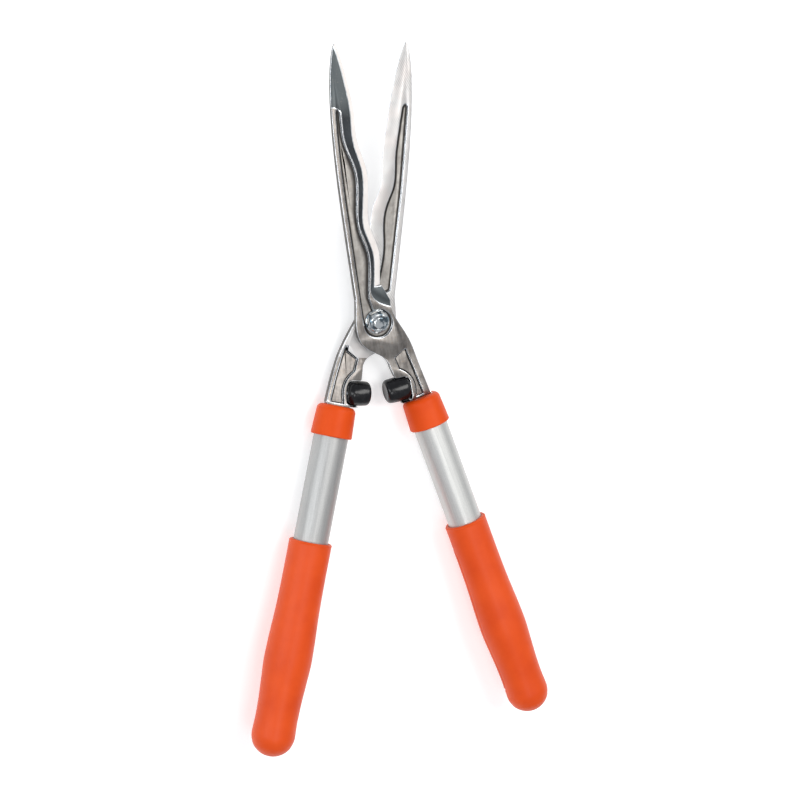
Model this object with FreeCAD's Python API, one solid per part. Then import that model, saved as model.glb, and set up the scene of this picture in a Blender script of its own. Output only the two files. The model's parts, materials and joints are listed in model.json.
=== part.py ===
import FreeCAD, Part
import math
import os

# Hedge shears: two forged halves crossed on a pivot bolt, each carried on by an aluminium tube and a grip.
# Each half is drawn closed, in the frame of the pivot: the pivot bolt along Z, the blade along +Y, the
# cutting edge and the arm on the +X side, the shear face at Z = 0 and the outside of the blade at +Z.
# The front half keeps that side up, the rear half is turned over about Y. Lengths are in millimetres.

# Blades
BLADE_LENGTH = 218.0        # pivot centre to tip
BLADE_THICKNESS = 5.6       # at the hub, over the raised rim
TIP_THICKNESS = 3.2
STEP_DEPTH = 1.1            # how far the land beside the cutting edge lies below the rim
FULLER_DEPTH = 2.0          # groove in the outside, which opens into the round nut seat
SLOT_DEPTH = 1.0            # relief in the shear face
SLOT_BACK = 10.0            # its back side, behind the bolt's line
SLOT_TURN_Y = 105.0         # where that side starts to close in on the edge
SLOT_CLOSING = 2.4          # how far it has come in at the top
BEVEL_ANGLE = 33.0
EDGE_LAND = 0.5             # thickness left at the cutting edge
EDGE_TAPER = (6.0, 0.8)     # how the cutting edge runs in to the tip, as powers
SPINE_TAPER = (4.2, 0.7)
SPINE_LAND = 1.0            # upright part of the blade's back
SPINE_DRAFT = 0.10          # lean of its flank above that, as a slope
WAVE_PITCH = 64.0
WAVE_FADE = 0.22            # share of the length over which the waves die away
FULLER_INSET = 10.4         # its right wall, behind the cutting edge
FULLER_BACK = 3.4           # its left wall, in from the back
FULLER_NARROWING = 1.6      # more inset towards the tip
FULLER_FADE = (0.54, 0.16)  # where that starts and over what share of the length it comes in
STEP_INSET = 1.0            # the rim between the fuller and the step
STEP_LEAN = 0.02
STEP_SLANT = 4.0            # how much lower the step ends on its right than at the back
SLOT_INSET = 10.6           # the slot's wavy side, behind the cutting edge
STEP_TO_TIP = 47.0          # from the top of the step, the fuller and the slot to the tip
FULLER_TO_TIP = 48.5
SLOT_TO_TIP = 47.0
CROWN = 3.2                 # height of the rounded top of the fuller
TAPER_Y = 70.0              # from here the blade thins towards its tip
HEEL_Y = 28.0               # lowest point of the cutting edge
HEEL_CORNER = (1.5, 3.0)    # the corner that the heel leaves
BACK_Y = 20.0               # lowest point of the blade's back
SHEAR_GAP = 0.2             # between the two shear faces

# Arms and handles
ARM_THICKNESS = 8.0
POCKET_DEPTH = 2.0
POCKET_LEAN = 1 / 3         # slope of its walls
BELLY = [(-17.6, 1.0), (-16.0, -14.0), (-10.4, -21.5), (-4.0, -26.3), (2.4, -31.6), (5.6, -40.0)]
SHOULDER = [(13.4, 15.0), (13.6, 6.0), (18.6, -7.0), (24.6, -21.5), (29.8, -42.0), (33.4, -58.0)]
SHOULDER_END_X = 36.6       # where the arm's outer side ends, inside the collar
POCKET_TOP = [(21.0, -26.0), (10.4, -32.4), (12.6, -42.6)]
STEP_HUB = [(1.8, 16.5), (7.0, 12.4), (14.0, 9.0)]    # the step's foot over the hub
CRANK_Y = -31.0             # where the arm starts to rise out of the blade plane
NECK_WIDTH = 19.0
COLLAR_MOUTH = 0.8          # from the collar's top up to where the arm becomes its neck
CRANK_ANGLE = 11.0          # the handles rise out of the blade plane
SPLAY_ANGLE = 9.0           # each handle away from the closed centre line
HANDLE_X = 29.9             # centre of the collar's lower rim, from the closed centre line
HANDLE_Z = 9.8              # and over the shear plane
COLLAR_LENGTH = 25.0
COLLAR_WALL = 2.7
COLLAR_TAPER = 1.2          # less radius at the top than at the rim
COLLAR_ROUND = 4.5
COLLAR_EDGE = 0.8           # small chamfer on the lower rim
TUBE_RADIUS = 14.0
TUBE_WALL = 1.5
TUBE_VISIBLE = 85.0
TUBE_IN_COLLAR = 19.0
GRIP_LENGTH = 174.0
GRIP_SOLID_END = 36.0       # of its length past the end of the tube
GRIP_WALL = 3.4
GRIP_SWELL = 1.9            # palm swell over the plain grip
GRIP_LIP = 1.2              # chamfer on its mouth
GRIP_END = 0.3              # how much wider the rounded end is
TANG_WIDTH = 14.0
TANG_THICKNESS = 6.0
TANG_LENGTH = 45.0          # from the collar's top down into the tube
SLEEVE_LENGTH = 38.0
PIN_RADIUS = 2.0

# Buffers
BUFFER_RADIUS = 10.1
BUFFER_Y = -59.3
BUFFER_Z = 3.8
BUFFER_SEAT = 18.8          # bottom of the saddle, from the closed centre line
BUFFER_FACE_GAP = 0.15      # from the closed centre line to a face with no reach
STUD_RADIUS = 2.5
STUD_IN_BUFFER = 8.0
STUD_IN_ARM = 2.3
BOSS_WALL = 2.9             # round the bottom of the saddle
SADDLE_DEPTH = 11.0
LIP = 1.8                   # thickness of the saddle's lower lip
FACE_ROUND = 3.5
SEAT_ROUND = 5.0

COLLAR_RISE = 0.8           # how far the collar's top reaches past the buffer's lower side
ARM_IN_COLLAR = 9.4         # how far the arm's outline goes on past the collar's top

# Pivot
SEAT_RADIUS = 12.0          # round end of the fuller, which the nut sits in
SEAT_OFFSET = (0.6, -1.8)   # of that round end from the bolt
BOLT_RADIUS = 5.0
BUSH_WALL = 1.5
WASHER_RADIUS = 9.8
WASHER_THICKNESS = 1.5
SPRING_THICKNESS = 0.8
HEAD_RADIUS = 10.0
HEAD_HEIGHT = 5.5
NUT_FLATS = 16.2
NUT_HEIGHT = 5.0
NUT_CHAMFER = 1.2           # in from the flats, round its top
HEAD_CHAMFER = 1.0
BOLT_END_ROUND = 1.2
BOLT_STICKOUT = 1.0
SHIM_RADIUS = 12.5
SHIM_THICKNESS = 0.8

# Fits
RUNNING = 0.05              # radial clearance of a pin or shaft
SEAT_GAP = 0.05             # between stacked flat faces
SADDLE_GAP = 0.3            # between the buffer and its saddle
PUSH = 0.1                  # tube, sleeve, collar and grip on each other

OPEN_ANGLE = 15.2           # between the halves as drawn

# Along the grip as a share of its length, and the swell there as a share of the palm swell
GRIP_SWELLS = [(0.17, 0.0), (0.32, 0.2), (0.48, 0.85), (0.56, 1.0), (0.66, 0.5), (0.76, 0.0), (0.82, -0.1)]

# What differs between the two halves; reach is how far a buffer goes past the closed centre line
HALVES = {
    "front": {"turned": False, "edge": 8.8, "spine": 15.0, "swell": 2.4, "crest": 0.537, "calm": 0.82,
              "dip": 1.0, "skew": 0.3,
              "rim": 5.6, "arm_shift": -0.7, "reach": 2.0},
    "rear": {"turned": True, "edge": 9.4, "spine": 14.2, "swell": 3.8, "crest": 0.385, "calm": 0.62,
             "dip": 0.41, "skew": 0.0,
             "rim": 3.6, "arm_shift": 1.0, "reach": 0.0},
}

HANDLE_Y = BUFFER_Y - BUFFER_RADIUS + COLLAR_RISE - COLLAR_LENGTH
ARM_END_Y = HANDLE_Y + COLLAR_LENGTH - ARM_IN_COLLAR
TUBE_IN_GRIP = GRIP_LENGTH - GRIP_SOLID_END
FAR = 400.0                 # past everything
Vec = FreeCAD.Vector


def wire_face(edges):
    return Part.Face(Part.Wire(Part.__sortEdges__(edges)))


def spline(points, z=0.0):
    curve = Part.BSplineCurve()
    curve.interpolate([Vec(x, y, z) for x, y in points])
    return curve.toShape()


def lines(points, z=0.0):
    ends = [Vec(x, y, z) for x, y in points]
    return [Part.makeLine(a, b) for a, b in zip(ends, ends[1:])]


def side_prism(points):
    """A solid as wide as the tool from a closed outline of (y, z) points."""
    outline = Part.makePolygon([Vec(-FAR / 2, y, z) for y, z in points + points[:1]])
    return Part.Face(outline).extrude(Vec(FAR, 0, 0))


def drafted(face, height, slope):
    """A cutter that grows from its floor, with walls that lean outwards along X."""
    lean = abs(height) * slope
    sides = [face.extrude(Vec(shift, 0, height)) for shift in (lean, -lean)]
    return face.extrude(Vec(0, 0, height)).fuse(sides)


def cylinder(radius, start, end, x=0.0, y=0.0):
    return Part.makeCylinder(radius, end - start, Vec(x, y, start))


def washer(inner, outer, start, end):
    return cylinder(outer, start, end).cut(cylinder(inner, start - 1, end + 1))


# ---- outlines of a forging, seen on its outside ----

def wave(half, y):
    """From 1 at the main crest; on its heel side the waves dip less and lean as the half says."""
    turn = 2 * math.pi * (y - half["crest"] * BLADE_LENGTH) / WAVE_PITCH
    if turn > 0:
        return math.cos(turn)
    return 1 - half["dip"] * (1 - math.cos(turn + half["skew"] * (1 - math.cos(turn))))


def edge_x(half, y):
    """The wavy cutting edge, which narrows to the tip."""
    u = y / BLADE_LENGTH
    fade = max(0.0, min(1.0, (half["calm"] - u) / WAVE_FADE))
    return half["edge"] * (1 - u ** EDGE_TAPER[0]) ** EDGE_TAPER[1] + half["swell"] * fade * wave(half, y)


def spine_x(half, y):
    u = max(0.0, y / BLADE_LENGTH)
    return -half["spine"] * (1 - u ** SPINE_TAPER[0]) ** SPINE_TAPER[1]


def stations(low, high, count):
    """Heights that crowd together towards the tip."""
    span = high - low
    return [low + span * math.sin(math.pi / 2 * i / (count - 1)) for i in range(count)]


def groove_side(half, y):
    """The right wall of the fuller, which follows the waves of the edge."""
    start, span = FULLER_FADE
    narrow = max(0.0, min(1.0, (y / BLADE_LENGTH - start) / span))
    return edge_x(half, y) - FULLER_INSET - FULLER_NARROWING * narrow


def cutting_edge(half):
    return [(edge_x(half, y), y) for y in stations(HEEL_Y, BLADE_LENGTH, 24)]


def blade_back(half):
    return [(spine_x(half, y), y) for y in stations(BACK_Y, BLADE_LENGTH, 16)]


def shifted(points, shift):
    """The part of an outline beyond the hub, moved over with its arm."""
    return [(x + shift, y) if y < CRANK_Y else (x, y) for x, y in points]


def arm_shoulder(half):
    """The arm's outer side, down to its end inside the collar."""
    return shifted(SHOULDER + [(SHOULDER_END_X, ARM_END_Y)], half["arm_shift"])


def crown_over(left, right, top_y):
    """The rounded end of a groove between two of its points."""
    return spline([left, ((left[0] + right[0]) / 2, top_y), right])


def forging_outline(half):
    spine = blade_back(half)
    edge = cutting_edge(half)
    belly = shifted(BELLY, half["arm_shift"])
    shoulder = arm_shoulder(half)
    lip_y = BUFFER_Y + BUFFER_RADIUS + SADDLE_GAP
    low_y = 2 * BUFFER_Y - lip_y
    seat_x = BUFFER_SEAT + SADDLE_GAP
    mouth_x = seat_x - SADDLE_DEPTH
    foot_y = low_y - LIP
    turn = SEAT_ROUND * (1 - math.sin(math.pi / 4))
    upper = Part.Arc(Vec(seat_x - SEAT_ROUND, lip_y, 0), Vec(seat_x - turn, lip_y - turn, 0),
                     Vec(seat_x, lip_y - SEAT_ROUND, 0)).toShape()
    lower = Part.Arc(Vec(seat_x, low_y + SEAT_ROUND, 0), Vec(seat_x - turn, low_y + turn, 0),
                     Vec(seat_x - SEAT_ROUND, low_y, 0)).toShape()
    saddle = lines([belly[-1], (mouth_x - 1.0, lip_y + 0.8), (mouth_x, lip_y), (seat_x - SEAT_ROUND, lip_y)])
    saddle += lines([(seat_x, lip_y - SEAT_ROUND), (seat_x, low_y + SEAT_ROUND)]) + [upper, lower]
    saddle += lines([(seat_x - SEAT_ROUND, low_y), (mouth_x + 1.5, low_y), (mouth_x + 2.0, foot_y),
                     (seat_x, foot_y - LIP), (seat_x, ARM_END_Y), shoulder[-1]])
    edges = [spline(spine), spline(edge), spline([spine[0]] + belly), spline(shoulder)] + saddle
    edges += lines([edge[0], (edge[0][0] + HEEL_CORNER[0], HEEL_Y - HEEL_CORNER[1]), shoulder[0]])
    return wire_face(edges)


# ---- profiles of a forging, seen from the side ----

def handle_z(y):
    """Height of the handle's axis over the shear plane."""
    slope = math.tan(math.radians(CRANK_ANGLE)) / math.cos(math.radians(SPLAY_ANGLE))
    return HANDLE_Z - slope * (y - HANDLE_Y)


def arm_levels(half):
    """Bottom and top of the arm where it meets the collar, in the half's own frame."""
    middle = handle_z(ARM_END_Y) - SHEAR_GAP / 2
    if half["turned"]:
        middle = -handle_z(ARM_END_Y) - SHEAR_GAP / 2
    return middle - ARM_THICKNESS / 2, middle + ARM_THICKNESS / 2


def forging_profile(half):
    low, high = arm_levels(half)
    top = [(FAR, TIP_THICKNESS), (BLADE_LENGTH, TIP_THICKNESS), (TAPER_Y, BLADE_THICKNESS),
           (CRANK_Y, BLADE_THICKNESS), (ARM_END_Y, high)]
    return side_prism(top + [(ARM_END_Y, low), (CRANK_Y, 0.0), (FAR, 0.0)])


def above_floor(depth):
    """Everything that lies over a floor cut this deep into the outside of the blade."""
    return side_prism([(FAR, TIP_THICKNESS - depth), (BLADE_LENGTH, TIP_THICKNESS - depth),
                       (TAPER_Y, BLADE_THICKNESS - depth), (CRANK_Y, BLADE_THICKNESS - depth),
                       (CRANK_Y, FAR), (FAR, FAR)])


def bevel_cutter(half):
    """Takes the ground bevel off the outside, along the cutting edge."""
    edge = cutting_edge(half)
    tip = edge[-1]
    heel = edge[0]
    round_about = [tip, (tip[0], 2 * FAR), (FAR, 2 * FAR), (FAR, heel[1]), heel]
    face = wire_face([spline(edge, EDGE_LAND)] + lines(round_about, EDGE_LAND))
    rise = BLADE_THICKNESS * 2
    return face.extrude(Vec(-rise / math.tan(math.radians(BEVEL_ANGLE)), 0, rise))


def spine_cutter(half):
    """Takes the drafted flank off the back of the blade."""
    spine = blade_back(half)
    tip = spine[-1]
    low = spine[0]
    round_about = [tip, (tip[0], 2 * FAR), (-FAR, 2 * FAR), (-FAR, low[1]), low]
    face = wire_face([spline(spine, SPINE_LAND)] + lines(round_about, SPINE_LAND))
    rise = BLADE_THICKNESS * 2
    return face.extrude(Vec(rise * SPINE_DRAFT, 0, rise))


def step_cutter(half):
    """Lowers the land between the fuller's right rim and the bevel, and the whole tip."""
    top_y = BLADE_LENGTH - STEP_TO_TIP
    rim = [(groove_side(half, y) + STEP_INSET, y) for y in stations(HEEL_Y + 2, top_y - STEP_SLANT, 14)]
    corner = (spine_x(half, top_y) + FULLER_BACK - STEP_INSET, top_y)
    hub = [rim[0]] + STEP_HUB
    edges = [spline(rim), spline(hub)]
    edges += lines([rim[-1], corner, (-FAR, top_y), (-FAR, FAR), (FAR, FAR), (FAR, hub[-1][1]), hub[-1]])
    rise = BLADE_THICKNESS * 2
    return wire_face(edges).extrude(Vec(rise * STEP_LEAN, 0, rise)).common(above_floor(STEP_DEPTH))


def fuller_cutter(half):
    """The groove along the outside, from the nut seat up."""
    top_y = BLADE_LENGTH - FULLER_TO_TIP
    left = [(spine_x(half, y) + FULLER_BACK, y) for y in stations(0.0, top_y - CROWN, 8)]
    right = [(groove_side(half, y), y) for y in stations(BACK_Y, top_y - CROWN, 14)]
    edges = [spline(left), spline(right), crown_over(left[-1], right[-1], top_y)]
    face = wire_face(edges + lines([left[0], (0.0, 0.0), right[0]]))
    groove = face.extrude(Vec(0, 0, BLADE_THICKNESS * 2))
    groove.translate(Vec(0, 0, TIP_THICKNESS - FULLER_DEPTH))
    return groove.common(above_floor(FULLER_DEPTH))


def slot_cutter(half):
    """Relief in the shear face, so that only the edge and the rims rub."""
    top_y = BLADE_LENGTH - SLOT_TO_TIP
    back = [(-SLOT_BACK, HEEL_Y - CROWN), (-SLOT_BACK, SLOT_TURN_Y)]
    back.append((SLOT_CLOSING - SLOT_BACK, top_y - CROWN))
    right = [(edge_x(half, y) - SLOT_INSET, y) for y in stations(HEEL_Y - CROWN, top_y - CROWN, 14)]
    crown = crown_over(back[-1], right[-1], top_y)
    foot = crown_over(back[0], right[0], HEEL_Y - 2 * CROWN)
    face = wire_face(lines(back) + [spline(right), crown, foot])
    return face.extrude(Vec(0, 0, SLOT_DEPTH + 1)).translated(Vec(0, 0, -1))


def pocket_face(half):
    shoulder = arm_shoulder(half)
    top = shifted(POCKET_TOP, half["arm_shift"])
    boss_x = BUFFER_SEAT + SADDLE_GAP + BOSS_WALL
    boss_foot = (boss_x, BUFFER_Y - BUFFER_RADIUS / 2)
    boss_side = (boss_x - 0.9, BUFFER_Y + 7.0)
    boss = Part.Arc(*[Vec(x, y, 0) for x, y in (top[-1], boss_side, boss_foot)]).toShape()
    side = [(x - half["rim"], y) for x, y in shoulder[3:]]
    edges = [boss, spline(side)] + lines([side[0]] + top)
    edges += lines([boss_foot, (boss_x, ARM_END_Y), side[-1]])
    return wire_face(edges)


def pocket_cutters(half):
    """The recess on each face of the arm, with its floor parallel to that face."""
    low, high = arm_levels(half)
    cutters = []
    for start, end, side in ((BLADE_THICKNESS, high, 1), (0.0, low, -1)):
        tilt = math.degrees(math.atan2(start - end, CRANK_Y - ARM_END_Y))
        cutter = drafted(pocket_face(half), ARM_THICKNESS * side, POCKET_LEAN)
        cutter.rotate(Vec(0, CRANK_Y, 0), Vec(1, 0, 0), tilt)
        cutter.translate(Vec(0, 0, start - POCKET_DEPTH * side))
        cutters.append(cutter)
    return cutters


# ---- frames ----

def handle_frame(half):
    """Places a shape drawn along -Z, with the collar's lower rim at Z = 0, on a half's own frame."""
    splay = math.radians(SPLAY_ANGLE)
    crank = math.radians(CRANK_ANGLE)
    rise = -math.sin(crank) if half["turned"] else math.sin(crank)
    along = Vec(math.sin(splay) * math.cos(crank), -math.cos(splay) * math.cos(crank), rise)
    across = Vec(math.cos(splay), math.sin(splay), 0)
    up = across.cross(along) * -1
    level = (-HANDLE_Z if half["turned"] else HANDLE_Z) - SHEAR_GAP / 2
    spot = Vec(HANDLE_X, HANDLE_Y, level)
    turn = FreeCAD.Rotation(across, up, along * -1, "ZXY")
    return FreeCAD.Placement(spot, turn)


def on_handle(half, shape):
    moved = shape.copy()
    moved.Placement = handle_frame(half).multiply(moved.Placement)
    return moved


def pivot_place(half, shape):
    """From a half's own frame to the frame of the pivot, at the drawn opening."""
    moved = shape.copy()
    moved.translate(Vec(0, 0, SHEAR_GAP / 2))
    if half["turned"]:
        moved.rotate(Vec(0, 0, 0), Vec(0, 1, 0), 180)
    lean = -OPEN_ANGLE / 2 if half["turned"] else OPEN_ANGLE / 2
    moved.rotate(Vec(0, 0, 0), Vec(0, 0, 1), lean)
    return moved


# ---- the pieces of one half ----

def box_along(width, thickness, start, end):
    """A bar in the handle's own frame, from start down to end, both measured along the handle."""
    return Part.makeBox(width, thickness, end - start, Vec(-width / 2, -thickness / 2, -end))


def forging(half):
    """Blade, hub, arm and tang in one piece of steel."""
    body = forging_outline(half).extrude(Vec(0, 0, 2 * FAR)).translated(Vec(0, 0, -FAR))
    body = body.common(forging_profile(half))
    cutters = [make(half) for make in (bevel_cutter, spine_cutter, step_cutter, fuller_cutter, slot_cutter)]
    for cutter in cutters + pocket_cutters(half):
        body = body.cut(cutter)
    trim = -COLLAR_LENGTH - COLLAR_MOUTH
    body = body.cut(on_handle(half, box_along(FAR, FAR, trim, FAR)))
    neck = box_along(NECK_WIDTH, ARM_THICKNESS, trim - 1, -TUBE_IN_COLLAR - 1.5)
    tang = box_along(TANG_WIDTH, TANG_THICKNESS, -TUBE_IN_COLLAR - 3, TANG_LENGTH - COLLAR_LENGTH)
    body = body.fuse(on_handle(half, neck.fuse(tang)))
    body = body.cut(cylinder(SEAT_RADIUS, BLADE_THICKNESS - FULLER_DEPTH, FAR, *SEAT_OFFSET))
    body = body.cut(cylinder(BOLT_RADIUS + BUSH_WALL + RUNNING * 2, -FAR, FAR))
    shim_seat = SHIM_THICKNESS / 2 - SHEAR_GAP / 2 + SEAT_GAP
    body = body.cut(cylinder(SHIM_RADIUS + SADDLE_GAP, -BLADE_THICKNESS, shim_seat))
    stud_hole = buffer_axis(half, STUD_RADIUS + RUNNING, BUFFER_SEAT - 2, BUFFER_SEAT + STUD_IN_ARM + 0.4)
    body = body.cut(stud_hole)
    pin_hole = tang_pin(half, PIN_RADIUS + RUNNING)
    return body.cut(pin_hole).removeSplitter()


def buffer_axis(half, radius, start, end):
    """A cylinder on the axis of the buffer, from start to end out from the closed centre line."""
    level = (-BUFFER_Z if half["turned"] else BUFFER_Z) - SHEAR_GAP / 2
    return Part.makeCylinder(radius, end - start, Vec(start, BUFFER_Y, level), Vec(1, 0, 0))


def buffer(half):
    """A rubber plug, rounded at its face and more so where it sits in the saddle."""
    face = BUFFER_FACE_GAP - half["reach"]
    block = buffer_axis(half, BUFFER_RADIUS, face, BUFFER_SEAT)
    for place, radius in ((face, FACE_ROUND), (BUFFER_SEAT, SEAT_ROUND)):
        rim = [edge for edge in block.Edges
               if abs(edge.BoundBox.XMax - place) < 0.01 and abs(edge.BoundBox.XMin - place) < 0.01]
        block = block.makeFillet(radius, rim)
    return block.cut(buffer_axis(half, STUD_RADIUS, BUFFER_SEAT - STUD_IN_BUFFER, BUFFER_SEAT + 1))


def buffer_stud(half):
    return buffer_axis(half, STUD_RADIUS, BUFFER_SEAT - STUD_IN_BUFFER, BUFFER_SEAT + STUD_IN_ARM)


def tang_pin(half, radius=PIN_RADIUS):
    reach = TUBE_RADIUS - 0.4    # the ends are filed back below the tube's skin
    pin = Part.makeCylinder(radius, 2 * reach, Vec(0, -reach, TUBE_IN_COLLAR / 2), Vec(0, 1, 0))
    return on_handle(half, pin)


def tube(half):
    body = Part.makeCylinder(TUBE_RADIUS, TUBE_IN_COLLAR + TUBE_VISIBLE + TUBE_IN_GRIP,
                             Vec(0, 0, -TUBE_VISIBLE - TUBE_IN_GRIP))
    bore = Part.makeCylinder(TUBE_RADIUS - TUBE_WALL, 2 * FAR, Vec(0, 0, -FAR))
    return on_handle(half, body.cut(bore)).cut(tang_pin(half, PIN_RADIUS + RUNNING))


def tang_sleeve(half):
    top = TUBE_IN_COLLAR
    body = Part.makeCylinder(TUBE_RADIUS - TUBE_WALL - PUSH, SLEEVE_LENGTH, Vec(0, 0, top - SLEEVE_LENGTH))
    hole = box_along(TANG_WIDTH + 2 * PUSH, TANG_THICKNESS + 2 * PUSH, -FAR, FAR)
    return on_handle(half, body.cut(hole)).cut(tang_pin(half, PIN_RADIUS + RUNNING))


def turned_solid(points):
    """A turned solid from a closed outline of (radius, distance up the handle) points."""
    outline = Part.makePolygon([Vec(r, 0, h) for r, h in points + points[:1]])
    return Part.Face(outline).revolve(Vec(0, 0, 0), Vec(0, 0, 1), 360)


def collar(half):
    rim = TUBE_RADIUS + COLLAR_WALL
    crown = rim - COLLAR_TAPER
    body = turned_solid([(0, 0), (rim - COLLAR_EDGE, 0), (rim, COLLAR_EDGE), (crown, COLLAR_LENGTH),
                         (0, COLLAR_LENGTH)])
    top = [edge for edge in body.Edges
           if edge.BoundBox.ZMin > COLLAR_LENGTH - 0.01 and edge.BoundBox.XLength > crown]
    body = body.makeFillet(COLLAR_ROUND, top)
    body = body.cut(Part.makeCylinder(TUBE_RADIUS + PUSH, TUBE_IN_COLLAR + PUSH))
    mouth = box_along(NECK_WIDTH + 2 * PUSH, ARM_THICKNESS + 2 * PUSH, -FAR, 0)
    return on_handle(half, body.cut(mouth))


def grip(half):
    """A moulded sleeve with a palm swell, closed by a round end."""
    plain = TUBE_RADIUS + GRIP_WALL
    dome = plain + GRIP_END
    dome_z = dome - GRIP_LENGTH
    sides = [Vec(plain, 0, -0.03 * GRIP_LENGTH)]
    sides += [Vec(plain + share * GRIP_SWELL, 0, -u * GRIP_LENGTH) for u, share in GRIP_SWELLS]
    sides.append(Vec(dome, 0, dome_z))
    side = Part.BSplineCurve()
    side.interpolate(sides, InitialTangent=Vec(0, 0, -1), FinalTangent=Vec(0, 0, -1))
    half_way = Vec(dome * math.sin(math.pi / 4), 0, dome_z - dome * math.sin(math.pi / 4))
    end = Part.Arc(sides[-1], half_way, Vec(0, 0, -GRIP_LENGTH)).toShape()
    mouth = [Vec(0, 0, -GRIP_LENGTH), Vec(0, 0, 0), Vec(plain - GRIP_LIP, 0, 0),
             Vec(plain, 0, -GRIP_LIP), sides[0]]
    edges = [side.toShape(), end] + [Part.makeLine(a, b) for a, b in zip(mouth, mouth[1:])]
    body = wire_face(edges).revolve(Vec(0, 0, 0), Vec(0, 0, 1), 360)
    bore_end = Vec(0, 0, -TUBE_IN_GRIP - PUSH)
    body = body.cut(Part.makeCylinder(TUBE_RADIUS + PUSH, FAR, bore_end))
    body.translate(Vec(0, 0, -TUBE_VISIBLE))
    return on_handle(half, body)


# ---- the pieces of the pivot, drawn in its own frame ----

# Heights over the shear plane, from the floor of the nut seat up; the head's side is its mirror image
SEAT_Z = SHEAR_GAP / 2 + BLADE_THICKNESS - FULLER_DEPTH
WASHER_LOW = SEAT_Z + SEAT_GAP
WASHER_HIGH = WASHER_LOW + WASHER_THICKNESS
SPRING_LOW = WASHER_HIGH + SEAT_GAP
NUT_LOW = SPRING_LOW + SPRING_THICKNESS + SEAT_GAP
NUT_TOP = NUT_LOW + NUT_HEIGHT
BOLT_TOP = NUT_TOP + BOLT_STICKOUT
HEAD_TOP = -WASHER_HIGH - SEAT_GAP


def pivot_bolt():
    head = cylinder(HEAD_RADIUS, HEAD_TOP - HEAD_HEIGHT, HEAD_TOP)
    rim = [edge for edge in head.Edges if abs(edge.BoundBox.ZMax - HEAD_TOP + HEAD_HEIGHT) < 0.01]
    head = head.makeChamfer(HEAD_CHAMFER, rim)
    shank = cylinder(BOLT_RADIUS, HEAD_TOP - 0.5, BOLT_TOP)
    end = [edge for edge in shank.Edges if abs(edge.BoundBox.ZMin - BOLT_TOP) < 0.01]
    return head.fuse(shank.makeFillet(BOLT_END_ROUND, end))


def pivot_nut():
    corner = NUT_FLATS / 2 / math.cos(math.pi / 6)
    ring = [Vec(corner * math.cos(math.radians(a)), corner * math.sin(math.radians(a)), NUT_LOW)
            for a in range(20, 381, 60)]
    body = Part.Face(Part.makePolygon(ring)).extrude(Vec(0, 0, NUT_HEIGHT))
    cone = Part.makeCone(corner + 3.0, NUT_FLATS / 2 - NUT_CHAMFER, NUT_HEIGHT, Vec(0, 0, NUT_LOW))
    return body.common(cone).cut(cylinder(BOLT_RADIUS + RUNNING, NUT_LOW - 1, NUT_TOP + 1))


def pivot_pieces():
    bush_reach = SEAT_Z - SEAT_GAP
    bore = BOLT_RADIUS + RUNNING
    bush = BOLT_RADIUS + BUSH_WALL
    return {
        "pivot_bolt": pivot_bolt(),
        "pivot_nut": pivot_nut(),
        "pivot_bush": washer(bore, bush, -bush_reach, bush_reach),
        "friction_shim": washer(bush + PUSH, SHIM_RADIUS, -SHIM_THICKNESS / 2, SHIM_THICKNESS / 2),
        "front_washer": washer(bore, WASHER_RADIUS, WASHER_LOW, WASHER_HIGH),
        "spring_washer": washer(bore, WASHER_RADIUS - 1, SPRING_LOW, SPRING_LOW + SPRING_THICKNESS),
        "rear_washer": washer(bore, WASHER_RADIUS, -WASHER_HIGH, -WASHER_LOW),
    }


# ---- the whole tool, set down on its grips and on the bolt's head ----

def all_pieces():
    pieces = pivot_pieces()
    makers = {"blade": forging, "tube": tube, "tang_sleeve": tang_sleeve, "tang_pin": tang_pin,
              "collar": collar, "grip": grip, "buffer": buffer, "buffer_stud": buffer_stud}
    for name, half in HALVES.items():
        for piece, make in makers.items():
            pieces[name + "_" + piece] = pivot_place(half, make(half))
    return pieces


def lowest(shapes):
    return min(shape.optimalBoundingBox(False).ZMin for shape in shapes)


def resting_tilt(pieces):
    """The tilt about X at which the bolt's head and the grips touch the ground together."""
    low, high = 0.0, 30.0
    grips = [pieces["front_grip"], pieces["rear_grip"]]
    for _ in range(24):
        tilt = (low + high) / 2
        turned = [grip_shape.rotated(Vec(0, 0, 0), Vec(1, 0, 0), tilt) for grip_shape in grips]
        head = pieces["pivot_bolt"].rotated(Vec(0, 0, 0), Vec(1, 0, 0), tilt)
        if lowest(turned) > lowest([head]):
            low = tilt
        else:
            high = tilt
    return (low + high) / 2


def main():
    pieces = all_pieces()
    tilt = resting_tilt(pieces)
    for shape in pieces.values():
        shape.rotate(Vec(0, 0, 0), Vec(1, 0, 0), tilt)
    box = Part.makeCompound(list(pieces.values())).optimalBoundingBox(False)
    pivot = Vec(-(box.XMin + box.XMax) / 2, -(box.YMin + box.YMax) / 2, -box.ZMin)
    os.makedirs("parts", exist_ok=True)
    for name, shape in pieces.items():
        shape.translate(pivot)
        shape.exportStep("parts/" + name + ".step")
    axis = FreeCAD.Rotation(Vec(1, 0, 0), tilt).multVec(Vec(0, 0, 1))
    print("tilt", round(tilt, 4), "pivot", pivot, "axis", axis)
    face = pivot + axis * (HEAD_TOP - HEAD_HEIGHT)
    print("bolt head face", face, "box", box)


main()
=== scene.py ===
import json
import math
import bmesh
import bpy
import numpy as np
from mathutils import Matrix, Vector


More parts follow.
